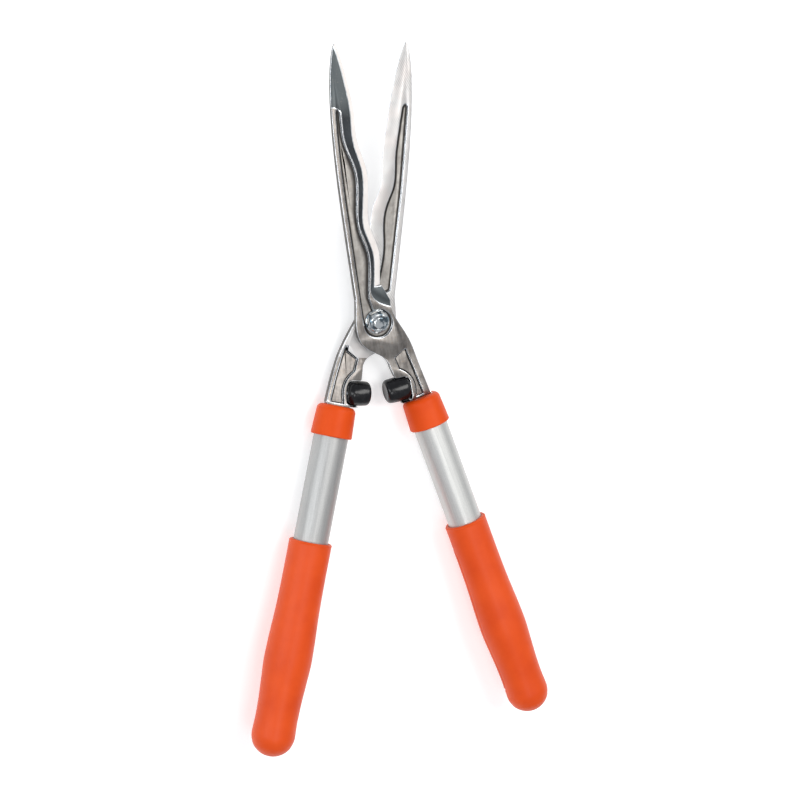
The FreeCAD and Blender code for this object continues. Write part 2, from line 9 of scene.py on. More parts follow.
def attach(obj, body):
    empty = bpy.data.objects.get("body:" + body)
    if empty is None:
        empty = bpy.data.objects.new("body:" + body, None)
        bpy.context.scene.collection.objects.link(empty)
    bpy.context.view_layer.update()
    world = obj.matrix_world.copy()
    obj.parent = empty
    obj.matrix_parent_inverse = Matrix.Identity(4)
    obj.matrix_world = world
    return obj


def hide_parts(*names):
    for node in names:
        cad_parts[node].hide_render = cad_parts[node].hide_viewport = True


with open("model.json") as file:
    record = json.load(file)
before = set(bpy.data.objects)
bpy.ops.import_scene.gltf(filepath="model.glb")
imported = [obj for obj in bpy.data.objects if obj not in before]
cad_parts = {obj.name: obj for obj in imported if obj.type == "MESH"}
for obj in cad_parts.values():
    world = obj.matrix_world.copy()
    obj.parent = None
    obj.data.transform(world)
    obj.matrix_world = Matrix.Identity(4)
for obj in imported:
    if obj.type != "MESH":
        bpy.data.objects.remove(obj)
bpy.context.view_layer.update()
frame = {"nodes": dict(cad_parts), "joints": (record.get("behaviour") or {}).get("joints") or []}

mm = 0.001
pivotJoint = frame["joints"][0]
pivotSpot = Vector(pivotJoint["pos_m"])
pivotAxis = Vector(pivotJoint["axis"])
restTilt = math.atan2(-pivotAxis.y, pivotAxis.z)
pivotFrame = Matrix.Translation(pivotSpot) @ Matrix.Rotation(restTilt, 4, "X")

# How each half lies: the front one leans to the left, the rear one is turned over and leans to the right.
halves = {
    "front": {"turned": False, "lean": 7.6, "edge": 8.8, "spine": 15.0, "swell": 2.4, "crest": 0.537,
              "calm": 0.82, "dip": 1.0, "skew": 0.3, "reach": 2.0},
    "rear": {"turned": True, "lean": -7.6, "edge": 9.4, "spine": 14.2, "swell": 3.8, "crest": 0.385,
             "calm": 0.62, "dip": 0.41, "skew": 0.0, "reach": 0.0},
}
blade = {"length": 218.0, "thick": 5.6, "tipThick": 3.2, "taperFrom": 70.0, "step": 1.1, "fuller": 2.0,
         "slot": 1.0, "gap": 0.2, "pitch": 64.0, "fade": 0.22, "inset": 10.4, "narrowing": 1.6,
         "narrowFrom": 0.54, "narrowOver": 0.16, "heel": 28.0, "crank": -31.0, "fullerBack": 3.4,
         "edgeCurve": (6.0, 0.8), "backCurve": (4.2, 0.7)}
arm = {"thick": 8.0, "pocket": 2.0, "crankAngle": 11.0, "splay": 9.0, "handle": (29.9, -93.6, 9.8),
       "end": -78.0}


def halfFrame(side):
    half = halves[side]
    turn = Matrix.Rotation(math.pi, 4, "Y") if half["turned"] else Matrix.Identity(4)
    lean = Matrix.Rotation(math.radians(half["lean"]), 4, "Z")
    return pivotFrame @ lean @ turn @ Matrix.Translation((0, 0, blade["gap"] / 2 * mm))


def handleFrame(side):
    turned = halves[side]["turned"]
    splay = math.radians(arm["splay"])
    crank = math.radians(arm["crankAngle"])
    rise = -math.sin(crank) if turned else math.sin(crank)
    along = Vector((math.sin(splay) * math.cos(crank), -math.cos(splay) * math.cos(crank), rise))
    across = Vector((math.cos(splay), math.sin(splay), 0))
    up = -across.cross(along)
    x, y, z = arm["handle"]
    level = (-z if turned else z) - blade["gap"] / 2
    turn = Matrix((across, up, -along)).transposed().to_4x4()
    return halfFrame(side) @ Matrix.Translation(Vector((x, y, level)) * mm) @ turn


print("frame loaded")


# Shader helpers
class Wire:
    def __init__(self, finish, socket):
        self.finish = finish
        self.socket = socket

    def maths(self, operation, first, second):
        return self.finish.node("Math", {"operation": operation}, {0: first, 1: second})

    def __add__(self, other):
        return self.maths("ADD", self, other)

    def __radd__(self, other):
        return self.maths("ADD", other, self)

    def __sub__(self, other):
        return self.maths("SUBTRACT", self, other)

    def __rsub__(self, other):
        return self.maths("SUBTRACT", other, self)

    def __mul__(self, other):
        return self.maths("MULTIPLY", self, other)

    def __rmul__(self, other):
        return self.maths("MULTIPLY", other, self)


class Finish:
    def __init__(self, name):
        self.material = bpy.data.materials.new(name)
        self.material.use_nodes = True
        self.tree = self.material.node_tree
        self.shader = self.tree.nodes["Principled BSDF"]
        self.place = self.node("TexCoord", {}, {}, "Object")
        self.own = self.node("Attribute", {"attribute_name": "own"}, {}, "Vector")  # in the piece's own frame

    def put(self, socket, value):
        if isinstance(value, Wire):
            self.tree.links.new(value.socket, socket)
        elif hasattr(socket.default_value, "__len__") and not hasattr(value, "__len__"):
            socket.default_value = [value] * len(socket.default_value)
        elif hasattr(value, "__len__") and len(socket.default_value) == 4 and len(value) == 3:
            socket.default_value = (*value, 1)
        else:
            socket.default_value = value

    def node(self, kind, settings, sockets, output=0):
        made = self.tree.nodes.new("ShaderNode" + kind)
        for name, value in settings.items():
            if name == "stops":
                while len(made.color_ramp.elements) < len(value):
                    made.color_ramp.elements.new(1.0)
                for stop, (at, shade) in zip(made.color_ramp.elements, value):
                    stop.position = at
                    stop.color = (*shade, 1) if hasattr(shade, "__len__") else (shade, shade, shade, 1)
            else:
                setattr(made, name, value)
        for key, value in sockets.items():
            self.put(made.inputs[key], value)
        return Wire(self, made.outputs[output])

    def stretched(self, x, y, z):
        return self.node("VectorMath", {"operation": "MULTIPLY"}, {0: self.own, 1: (x, y, z)})

    def cove(self):
        return self.node("Attribute", {"attribute_name": "cove"}, {}, "Fac")

    def noise(self, size, detail=3.0, rough=0.5, where=None):
        place = where or self.place
        return self.node("TexNoise", {}, {"Vector": place, "Scale": 1 / (size * mm), "Detail": detail,
                                          "Roughness": rough})

    def ramp(self, value, *stops):
        return self.node("ValToRGB", {"stops": stops}, {0: value})

    def mix(self, amount, first, second, how="MIX"):
        settings = {"data_type": "RGBA", "blend_type": how}
        return self.node("Mix", settings, {0: amount, 6: first, 7: second}, 2)

    def bump(self, height, depth, strength=1.0, onto=None):
        sockets = {"Height": height, "Distance": depth * mm, "Strength": strength}
        if onto is not None:
            sockets["Normal"] = onto
        return self.node("Bump", {}, sockets)

    def crevice(self, reach):
        return self.node("AmbientOcclusion", {"samples": 8}, {"Distance": reach * mm}, "AO")

    def surface(self, sockets):
        for name, value in sockets.items():
            self.put(self.shader.inputs[name], value)
        return self.material


# Steels
# The near-black colour darkens crevices and the rings beside recess walls: painted shade.
forgedLook = {"light": (0.37, 0.345, 0.32), "dark": (0.17, 0.155, 0.145), "tint": (0.36, 0.27, 0.19),
              "rough": (0.27, 0.44), "paintedShade": (0.022, 0.020, 0.019), "pitting": 0.10, "scale": 0.5,
              "tints": 0.35, "streak": (1.6, 0.12), "cloud": 9.0, "spot": 2.2, "dent": 4.5, "dentDepth": 0.12,
              "crevice": 2.6}
# The steep side walls get a darker copy of the forged steel: painted shade.
shadedSideLook = {**forgedLook, "light": (0.17, 0.16, 0.15), "dark": (0.05, 0.048, 0.045), "tints": 0.15}
# The recess floors get a lighter copy of the forged steel, with longer streaks along them: painted highlight.
litRecessLook = {**forgedLook, "light": (0.56, 0.53, 0.49), "dark": (0.29, 0.27, 0.25), "streak": (2.6, 0.04)}


def forgedSteel(name, look):
    steel = Finish(name)
    cloud = steel.noise(look["cloud"], 5.0, 0.6)
    width, squeeze = look["streak"]
    drawn = steel.noise(width, 4.0, 0.6, steel.stretched(1.0, squeeze, 1.0))
    grain = steel.noise(look["scale"], 4.0, 0.7)
    spots = steel.ramp(steel.noise(look["spot"], 3.0, 0.65), (0.56, 0.0), (0.68, 1.0))
    patches = steel.ramp(cloud * 0.6 + drawn * 0.4, (0.36, 0.0), (0.62, 1.0))
    shade = steel.mix(patches, look["dark"], look["light"])
    shade = steel.mix(spots * look["tints"], shade, look["tint"])
    shade = steel.mix(steel.ramp(grain, (0.30, 0.35), (0.52, 0.0)), shade, look["dark"])
    # Darkened in crevices (ambient occlusion) and on the cove rings beside each recess wall: painted shade.
    unshaded = steel.ramp(steel.crevice(look["crevice"]), (0.35, 0.0), (0.86, 1.0))
    unshaded = unshaded * (1 - steel.ramp(steel.cove(), (0.0, 0.0), (0.75, 0.93)))
    shade = steel.mix(unshaded, look["paintedShade"], shade)
    low, high = look["rough"]
    rough = low + (high - low) * (cloud * 0.4 + grain * 0.6) + (1 - unshaded) * 0.15
    dents = steel.bump(steel.noise(look["dent"], 2.0), look["dentDepth"])
    skin = steel.bump(grain, look["pitting"], 0.7, dents)
    return steel.surface({"Base Color": shade, "Metallic": 1.0, "Roughness": rough, "Normal": skin})


shearLook = {"light": (0.66, 0.645, 0.63), "dark": (0.42, 0.41, 0.40), "pitch": 1.5, "slant": 38.0,
             "metal": 0.45, "marks": (0.25, 0.75), "cloud": 11.0, "blush": (0.75, 0.55, 0.48),
             "blushSize": 16.0, "grain": 0.25, "paintedShade": (0.12, 0.11, 0.10), "crevice": 1.2}
bevelLook = {**shearLook, "light": (0.95, 0.90, 0.86), "dark": (0.76, 0.71, 0.67), "pitch": 0.9,
             "slant": -80.0, "metal": 0.10, "marks": (0.35, 0.9)}
waveScale = 0.314  # a wave texture's scale for one band in each unit of length


def groundSteel(name, look):
    steel = Finish(name)
    turned = steel.node("VectorRotate", {"rotation_type": "Z_AXIS"},
                        {"Vector": steel.own, "Angle": math.radians(look["slant"])})
    waves = {"Vector": turned, "Scale": waveScale / (look["pitch"] * mm), "Distortion": 0.6, "Detail": 2.0}
    hatch = steel.node("TexWave", {"bands_direction": "X"}, waves, 1)
    drawn = steel.node("VectorMath", {"operation": "MULTIPLY"}, {0: turned, 1: (1.0, 0.05, 1.0)})
    fine = steel.noise(look["grain"], 3.0, 0.6, drawn)
    cloud = steel.noise(look["cloud"], 3.0)
    marks = hatch * steel.ramp(cloud, (0.42, 0.25), (0.60, 1.0)) * 0.5 + fine * 0.5
    low, high = look["marks"]
    shade = steel.mix(steel.ramp(marks, (low, 1.0), (high, 0.0)), look["dark"], look["light"])
    blush = steel.ramp(steel.noise(look["blushSize"], 2.0), (0.45, 0.0), (0.65, 0.12))
    shade = steel.mix(blush, shade, look["blush"])
    # Darkened in crevices: painted shade.
    unshaded = steel.ramp(steel.crevice(look["crevice"]), (0.3, 0.0), (0.75, 1.0))
    shade = steel.mix(unshaded, look["paintedShade"], shade)
    skin = steel.bump(marks, 0.03, 0.6)
    return steel.surface({"Base Color": shade, "Metallic": look["metal"], "Roughness": 0.34 + marks * 0.16,
                          "Normal": skin})


blackenedLook = {"low": (0.030, 0.033, 0.037), "high": (0.052, 0.058, 0.064), "pale": (0.085, 0.095, 0.10),
                 "spots": (0.30, 0.26, 0.22), "rough": 0.34, "cloud": 14.0, "grain": 0.5, "spot": 1.1,
                 "paleEnds": ((0.13, 1.0), (0.20, 0.0), (0.74, 0.0), (0.80, 1.0))}


def blackenedSteel():
    steel = Finish("blackenedSteel")
    cloud = steel.noise(blackenedLook["cloud"], 4.0, 0.6)
    grain = steel.noise(blackenedLook["grain"], 3.0, 0.7)
    along = steel.node("SeparateXYZ", {}, {0: steel.own}, "Y") * (1 / (blade["length"] * mm))
    paleEnds = steel.ramp(along, *blackenedLook["paleEnds"])
    shade = steel.mix(steel.ramp(cloud, (0.35, 0.0), (0.7, 1.0)), blackenedLook["low"], blackenedLook["high"])
    shade = steel.mix(paleEnds, shade, blackenedLook["pale"])
    spots = steel.ramp(steel.noise(blackenedLook["spot"], 2.0), (0.64, 0.0), (0.70, 1.0))
    shade = steel.mix(spots * 0.25, shade, blackenedLook["spots"])
    skin = steel.bump(grain, 0.05, 0.6)
    rough = blackenedLook["rough"] + grain * 0.2
    return steel.surface({"Base Color": shade, "Metallic": 0.9, "Roughness": rough, "Normal": skin})


# Bright, glossy steel for the ridge and for every rounded edge of the forgings: painted highlight.
edgeHighlightLook = {"cool": (0.42, 0.45, 0.49), "bright": (0.84, 0.87, 0.90), "rough": 0.18, "grain": 0.5}


def edgeHighlightSteel():
    steel = Finish("edgeHighlightSteel")
    drawn = steel.noise(edgeHighlightLook["grain"], 3.0, 0.6, steel.stretched(1.0, 0.1, 1.0))
    shade = steel.mix(steel.ramp(drawn, (0.3, 0.0), (0.6, 1.0)), edgeHighlightLook["cool"], edgeHighlightLook["bright"])
    rough = edgeHighlightLook["rough"] + drawn * 0.2
    return steel.surface({"Base Color": shade, "Metallic": 1.0, "Roughness": rough,
                          "Normal": steel.bump(drawn, 0.02)})


# The cool and warm patches are a painted reflection on the zinc; the near-black colour darkens its crevices:
# painted shade.
zincLook = {"cool": (0.13, 0.17, 0.20), "warm": (0.78, 0.81, 0.82), "paintedShade": (0.03, 0.03, 0.035),
            "rough": 0.12, "cloud": 5.0, "grain": 0.4, "crevice": 1.5}


def zincSteel():
    steel = Finish("zincSteel")
    cloud = steel.noise(zincLook["cloud"], 3.0)
    # Dark and bright patches over the zinc: painted reflection.
    shade = steel.mix(steel.ramp(cloud, (0.42, 0.0), (0.52, 1.0)), zincLook["cool"], zincLook["warm"])
    # Darkened in crevices: painted shade.
    unshaded = steel.ramp(steel.crevice(zincLook["crevice"]), (0.25, 0.0), (0.8, 1.0))
    shade = steel.mix(unshaded, zincLook["paintedShade"], shade)
    fine = steel.noise(zincLook["grain"], 3.0, 0.6)
    skin = steel.bump(fine * 0.25 + cloud, 0.10, 0.5)
    return steel.surface({"Base Color": shade, "Metallic": 1.0, "Roughness": zincLook["rough"] + fine * 0.1,
                          "Normal": skin})


pinLook = {"dark": (0.30, 0.29, 0.28), "light": (0.55, 0.54, 0.52), "grain": 0.5, "rough": 0.28}


def pinSteel():
    steel = Finish("pinSteel")
    fine = steel.noise(pinLook["grain"], 3.0, 0.6)
    shade = steel.mix(fine, pinLook["dark"], pinLook["light"])
    return steel.surface({"Base Color": shade, "Metallic": 1.0, "Roughness": pinLook["rough"] + fine * 0.2,
                          "Normal": steel.bump(fine, 0.03)})


bronzeLook = {"dark": (0.28, 0.17, 0.07), "light": (0.62, 0.42, 0.19), "pores": 0.35, "rough": 0.34}


def bronze():
    metal = Finish("bronze")
    pores = metal.noise(bronzeLook["pores"], 4.0, 0.7)
    shade = metal.mix(metal.ramp(pores, (0.35, 0.0), (0.6, 1.0)), bronzeLook["dark"], bronzeLook["light"])
    rough = bronzeLook["rough"] + pores * 0.2
    return metal.surface({"Base Color": shade, "Metallic": 1.0, "Roughness": rough,
                          "Normal": metal.bump(pores, 0.05, 0.6)})


# Aluminium, plastics, rubber, floor
# The rear tube takes darker colours than the front one, though both are the same aluminium: painted shade.
tubeLook = {"front": ((0.50, 0.50, 0.49), (0.62, 0.62, 0.60)),
            "rear": ((0.36, 0.36, 0.355), (0.46, 0.46, 0.45)),
            "streak": 1.1, "speck": 0.8, "squeeze": (1.0, 1.0, 0.03), "rough": (0.36, 0.48)}


def tubeAluminium(side):
    metal = Finish(side + "TubeAluminium")
    frameOf = handleFrame(side).inverted().to_euler()
    along = metal.node("Mapping", {"vector_type": "POINT"},
                       {"Vector": metal.place, "Rotation": tuple(frameOf)})
    flat = metal.node("VectorMath", {"operation": "MULTIPLY"}, {0: along, 1: tubeLook["squeeze"]})
    streak = metal.noise(tubeLook["streak"], 4.0, 0.6, flat)
    speck = metal.noise(tubeLook["speck"], 3.0, 0.7)
    # Each side's own pair of colours; the darker rear pair is painted shade.
    shade = metal.mix(metal.ramp(streak * 0.5 + speck * 0.5, (0.36, 0.0), (0.62, 1.0)), *tubeLook[side])
    low, high = tubeLook["rough"]
    skin = metal.bump(streak, 0.02, 0.5, metal.bump(speck, 0.03, 0.4))
    return metal.surface({"Base Color": shade, "Metallic": 0.6, "Roughness": low + (high - low) * speck,
                          "Normal": skin})


# The seam colour darkens the crevices and panel grooves: painted shade.
orangeLook = {"deep": (0.67, 0.063, 0.004), "pale": (0.75, 0.081, 0.007), "creviceShade": (0.33, 0.026, 0.003),
              "rough": (0.38, 0.50), "grain": 0.45, "cloud": 22.0, "crevice": 1.4}


def orangePlastic(name, gloss):
    plastic = Finish(name)
    cloud = plastic.noise(orangeLook["cloud"], 3.0)
    grain = plastic.noise(orangeLook["grain"], 2.0, 0.6)
    shade = plastic.mix(plastic.ramp(cloud, (0.3, 0.0), (0.7, 1.0)), orangeLook["deep"], orangeLook["pale"])
    # Darker in crevices and panel grooves: painted shade.
    openToLight = plastic.ramp(plastic.crevice(orangeLook["crevice"]), (0.3, 0.0), (0.8, 1.0))
    shade = plastic.mix(openToLight, orangeLook["creviceShade"], shade)
    low, high = orangeLook["rough"]
    return plastic.surface({"Base Color": shade, "Roughness": low + (high - low) * grain,
                           "Normal": plastic.bump(grain, 0.035, 0.6), "Specular IOR Level": gloss})


rubberLook = {"dark": (0.004, 0.004, 0.005), "light": (0.012, 0.012, 0.014), "cloud": 5.0, "grain": 0.5,
              "rough": 0.13, "gloss": 0.38}


def blackRubber():
    rubber = Finish("blackRubber")
    cloud = rubber.noise(rubberLook["cloud"], 4.0, 0.6)
    grain = rubber.noise(rubberLook["grain"], 3.0, 0.6)
    shade = rubber.mix(rubber.ramp(cloud, (0.45, 0.0), (0.7, 1.0)), rubberLook["dark"], rubberLook["light"])
    rough = rubberLook["rough"] + cloud * 0.16
    return rubber.surface({"Base Color": shade, "Roughness": rough, "Specular IOR Level": rubberLook["gloss"],
                           "Normal": rubber.bump(grain, 0.02, 0.5)})


sleeveLook = {"dark": (0.03, 0.03, 0.03), "light": (0.07, 0.07, 0.07), "grain": 0.6, "rough": 0.45}


def sleevePlastic():
    plastic = Finish("sleevePlastic")
    grain = plastic.noise(sleeveLook["grain"], 3.0)
    shade = plastic.mix(grain, sleeveLook["dark"], sleeveLook["light"])
    return plastic.surface({"Base Color": shade, "Roughness": sleeveLook["rough"] + grain * 0.1,
                            "Normal": plastic.bump(grain, 0.04)})


floorCloth = {"shade": (0.80, 0.80, 0.80), "rough": 0.9, "glow": 0.42, "size": 6.0, "drop": 0.0004}


def paleFloor():
    floor = Finish("paleFloor")
    return floor.surface({"Base Color": floorCloth["shade"], "Roughness": floorCloth["rough"],
                          "Emission Color": (1.0, 1.0, 1.0), "Emission Strength": floorCloth["glow"]})


steels = [forgedSteel("forgedSteel", forgedLook), forgedSteel("shadedSideSteel", shadedSideLook),
          groundSteel("shearSteel", shearLook), groundSteel("bevelSteel", bevelLook), blackenedSteel(),
          edgeHighlightSteel(), forgedSteel("litRecessSteel", litRecessLook)]
forged, dark, shearFace, bevelFace, blackened, edgeHighlight, recess = range(7)
print("finishes made")


# The forgings
def clamp(value):
    return max(0.0, min(1.0, value))


def waveAt(half, y):
    turn = 2 * math.pi * (y - half["crest"] * blade["length"]) / blade["pitch"]
    if turn > 0:
        return math.cos(turn)
    return 1 - half["dip"] * (1 - math.cos(turn + half["skew"] * (1 - math.cos(turn))))


def edgeAt(half, y):
    u = clamp(y / blade["length"])
    fade = clamp((half["calm"] - u) / blade["fade"])
    late, full = blade["edgeCurve"]
    return half["edge"] * (1 - u ** late) ** full + half["swell"] * fade * waveAt(half, y)


def backAt(half, y):
    u = clamp(y / blade["length"])
    late, full = blade["backCurve"]
    return -half["spine"] * (1 - u ** late) ** full


def rimAt(half, y):
    narrow = clamp((y / blade["length"] - blade["narrowFrom"]) / blade["narrowOver"])
    return edgeAt(half, y) - blade["inset"] - blade["narrowing"] * narrow


def topAt(y):
    down = clamp((y - blade["taperFrom"]) / (blade["length"] - blade["taperFrom"]))
    return blade["thick"] - (blade["thick"] - blade["tipThick"]) * down


def armLevels(side):
    slope = math.tan(math.radians(arm["crankAngle"])) / math.cos(math.radians(arm["splay"]))
    middle = arm["handle"][2] - slope * (arm["end"] - arm["handle"][1])
    middle = (-middle if halves[side]["turned"] else middle) - blade["gap"] / 2
    return middle - arm["thick"] / 2, middle + arm["thick"] / 2


# How flat a face lies, and how near its level it is, for each kind of surface
telling = {"flat": 0.9, "top": 0.95, "shear": 0.05, "slot": 0.1, "step": 0.15, "ridge": 0.1, "pocket": 0.25,
           "slotFrom": 10.0, "pocketTo": -26.0, "collar": 3.0}


def faceKind(side, face):
    half = halves[side]
    x, y, z = face.calc_center_median() / mm
    n = face.normal
    if n.z < -telling["flat"] and abs(z) < telling["shear"] and y > blade["crank"] - 1:
        return "shear"
    if n.z < -telling["flat"] and abs(z - blade["slot"]) < telling["slot"] and y > telling["slotFrom"]:
        return "slot"
    if y > blade["heel"] and n.x > 0.35 and 0.5 < n.z < telling["top"]:
        return "bevel"
    if y > blade["heel"] and abs(n.z) < 0.2 and z < 0.6 and n.x > 0 and x > rimAt(half, y) + 4:
        return "bevel"
    if n.z > telling["top"] and y > blade["crank"]:
        depth = topAt(y) - z
        if abs(depth - blade["step"]) < telling["step"]:
            return "land"
        if abs(depth - blade["fuller"]) < telling["step"]:
            return "fuller"
        if abs(depth) < telling["ridge"] and y > blade["heel"] + 1 and abs(x - rimAt(half, y) - 0.7) < 2.5:
            return "ridge"
    low, high = armLevels(side)
    run = (y - blade["crank"]) / (arm["end"] - blade["crank"])
    for start, end, way in ((blade["thick"], high, 1), (0.0, low, -1)):
        floor = start + (end - start) * run - arm["pocket"] * way
        between = arm["end"] + telling["collar"] < y < telling["pocketTo"]
        if n.z * way > telling["flat"] and between and abs(z - floor) < telling["pocket"]:
            return "pocket"
    return "side" if abs(n.z) < 0.5 else "plain"


# The ridge takes the bright edge steel (painted highlight) and the side walls the darker steel (painted
# shade).
kindFinish = {"shear": shearFace, "bevel": bevelFace, "land": blackened, "ridge": edgeHighlight, "side": dark,
              "slot": recess, "fuller": recess}
# Rings round the floor of each recess, from its wall inwards: the width, the fall and how much painted shade
# it still takes
coves = {"slot": [(0.9, 0.30, 1.0), (0.9, 0.12, 0.85), (0.7, 0.05, 0.0)],
         "fuller": [(0.9, 0.30, 1.0), (0.8, 0.15, 0.8), (0.8, 0.05, 0.0)],
         "pocket": [(0.55, 0.25, 1.0), (0.5, 0.12, 0.8), (0.5, 0.05, 0.0)]}
# How far the rings on the right side of the fuller spread further, widening the painted shade along that wall
fullerSpread = {"rings": (0.0, 0.9, 1.7, 2.3), "from": 6.0, "over": 3.0}
forging = {"round": 0.32, "weld": 0.002, "flat": 0.3, "crease": 28.0, "coveFrom": 13.0, "coveOver": 14.0}


def nodeCopy(node, place):
    mesh = frame["nodes"][node].data.copy()
    mesh.transform(place.inverted())
    mesh.materials.clear()
    if "custom_normal" in mesh.attributes:
        mesh.attributes.remove(mesh.attributes["custom_normal"])
    return mesh


def openMesh(mesh, flat):
    work = bmesh.new()
    work.from_mesh(mesh)
    bmesh.ops.remove_doubles(work, verts=work.verts, dist=forging["weld"] * mm)
    bmesh.ops.dissolve_limit(work, angle_limit=math.radians(flat), verts=work.verts, edges=work.edges)
    return work


def applyAll(piece):
    graph = bpy.context.evaluated_depsgraph_get()
    mesh = bpy.data.meshes.new_from_object(piece.evaluated_get(graph))
    piece.modifiers.clear()
    piece.data = mesh


def bake(mesh, place):
    own = mesh.attributes.new("own", "FLOAT_VECTOR", "POINT")
    spots = np.empty(len(mesh.vertices) * 3)
    mesh.vertices.foreach_get("co", spots)
    own.data.foreach_set("vector", spots)
    mesh.transform(place)


def addPiece(name, mesh, place, body, slot, *nodes):
    piece = bpy.data.objects.new(name, mesh)
    bpy.context.scene.collection.objects.link(piece)
    bake(mesh, place)
    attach(piece, body)
    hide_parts(*nodes)
    return piece


softAngle = 25.0  # an edge that turns more than this is rounded


def softenEdges(piece, width, segments=2, finish=-1):
    soft = piece.modifiers.new("soften", "BEVEL")
    soft.width = width * mm
    soft.material = finish
    soft.segments = segments
    soft.limit_method = "ANGLE"
    soft.angle_limit = math.radians(softAngle)
    soft.use_clamp_overlap = False
    soft.miter_outer = "MITER_ARC"
    soft.harden_normals = False


def smoothBy(mesh, angle):
    mesh.shade_smooth()
    mesh.set_sharp_from_angle(angle=math.radians(angle))


# The rings also carry the painted shade beside each recess wall, written into the cove attribute.
def layCove(work, faces, rings, cove, kind, half):
    rank = {vert: 0 for face in faces for vert in face.verts}
    for vert in rank:
        vert[cove] = 1.0
    for index, (width, depth, shade) in enumerate(rings):
        bmesh.ops.inset_region(work, faces=faces, thickness=width * mm, depth=0)
        for vert in {vert for face in faces for vert in face.verts}:
            y = vert.co.y / mm
            share = 1.0 if kind == "pocket" else clamp((y - forging["coveFrom"]) / forging["coveOver"])
            vert.co -= faces[0].normal * depth * share * mm
            vert[cove] = shade
            rank[vert] = index + 1
    if kind != "fuller":
        return
    for vert, ring in rank.items():
        x, y = vert.co.x / mm, vert.co.y / mm
        left, right = backAt(half, y) + blade["fullerBack"], rimAt(half, y)
        room = clamp((right - left - fullerSpread["from"]) / fullerSpread["over"])
        share = clamp((y - forging["coveFrom"]) / forging["coveOver"]) * room
        if x > (left + right) / 2:
            vert.co.x -= fullerSpread["rings"][ring] * share * mm


def makeForging(side):
    node = side + "_blade"
    place = halfFrame(side)
    mesh = nodeCopy(node, place)
    work = openMesh(mesh, forging["flat"])
    kinds = {}
    for face in work.faces:
        kind = faceKind(side, face)
        kinds.setdefault(kind, []).append(face)
        face.material_index = kindFinish.get(kind, forged)
    print(side, {kind: len(faces) for kind, faces in kinds.items()})
    cove = work.verts.layers.float.new("cove")
    for kind, rings in coves.items():
        layCove(work, kinds.get(kind, []), rings, cove, kind, halves[side])
    work.to_mesh(mesh)
    work.free()
    for steel in steels:
        mesh.materials.append(steel)
    piece = addPiece(side + "Forging", mesh, place, side + "_half", "forged_steel", node)
    # Every rounded edge takes the bright edge steel: painted highlight.
    softenEdges(piece, forging["round"], finish=edgeHighlight)
    applyAll(piece)
    smoothBy(piece.data, forging["crease"])


for side in halves:
    makeForging(side)
print("forgings made")


# The pivot
zinc = zincSteel()


fitting = {"flat": 0.5, "segments": 3, "crease": 30.0}


def makeFitting(name, node, width, material, slot):
    mesh = nodeCopy(node, pivotFrame)
    work = openMesh(mesh, fitting["flat"])
    work.to_mesh(mesh)
    work.free()
    mesh.materials.append(material)
    piece = addPiece(name, mesh, pivotFrame, "rear_half", slot, node)
    softenEdges(piece, width, fitting["segments"])
    applyAll(piece)
    smoothBy(piece.data, fitting["crease"])


makeFitting("pivotNut", "pivot_nut", 0.35, zinc, "zinc_steel")
makeFitting("pivotBolt", "pivot_bolt", 0.3, zinc, "zinc_steel")
makeFitting("frontWasher", "front_washer", 0.2, zinc, "zinc_steel")
makeFitting("rearWasher", "rear_washer", 0.2, zinc, "zinc_steel")
makeFitting("springWasher", "spring_washer", 0.15, pinSteel(), "pin_steel")
print("pivot made")


# Turned pieces
turnedCrease = 40.0


def lathe(profile, around, shaping=None):
    work = bmesh.new()
    rings = []
    for radius, height in profile:
        if radius < 1e-6:
            rings.append([work.verts.new((0, 0, height * mm))])
            continue
        ring = []
        for i in range(around):
            angle = 2 * math.pi * i / around
            r = radius + (shaping(radius, height, angle) if shaping else 0.0)
            ring.append(work.verts.new((r * mm * math.cos(angle), r * mm * math.sin(angle), height * mm)))
        rings.append(ring)
    for low, high in zip(rings, rings[1:]):
        for i in range(around):
            j = (i + 1) % around
            corners = [low[i % len(low)], low[j % len(low)], high[j % len(high)], high[i % len(high)]]
            work.faces.new(list(dict.fromkeys(corners)))
    bmesh.ops.recalc_face_normals(work, faces=work.faces)
    mesh = bpy.data.meshes.new("turned")
    work.to_mesh(mesh)
    work.free()
    return mesh


def arc(x, y, radius, start, end, count):
    turns = [math.radians(start + (end - start) * i / (count - 1)) for i in range(count)]
    return [(x + radius * math.cos(t), y + radius * math.sin(t)) for t in turns]


# Grips
grip = {"tube": 14.0, "wall": 3.4, "length": 174.0, "solidEnd": 36.0, "start": 85.0, "swell": 1.9,
        "endWider": 0.3, "lip": 1.2, "push": 0.1,
        "swells": [(0.0, 0.0), (0.10, 0.0), (0.17, 0.0), (0.32, 0.2), (0.48, 0.85), (0.56, 1.0),
                               (0.66, 0.5), (0.76, 0.0), (0.82, -0.1), (0.90, 0.157)],
        "around": 180, "rows": 240}
panel = {"front": {"middle": 250.0}, "rear": {"middle": 120.0}, "half": 78.0, "from": 0.115, "to": 0.86,
         "corner": 9.0, "groove": 0.45, "width": 0.75, "lift": 0.22}


def curveThrough(points, at):
    xs = [p[0] for p in points]
    ys = [p[1] for p in points]
    slopes = np.gradient(ys, xs)
    k = min(max(int(np.searchsorted(xs, at)) - 1, 0), len(xs) - 2)
    span = xs[k + 1] - xs[k]
    t = (at - xs[k]) / span
    a, b = (1 + 2 * t) * (1 - t) ** 2, t * (1 - t) ** 2
    c, d = t * t * (3 - 2 * t), t * t * (t - 1)
    return a * ys[k] + b * span * slopes[k] + c * ys[k + 1] + d * span * slopes[k + 1]


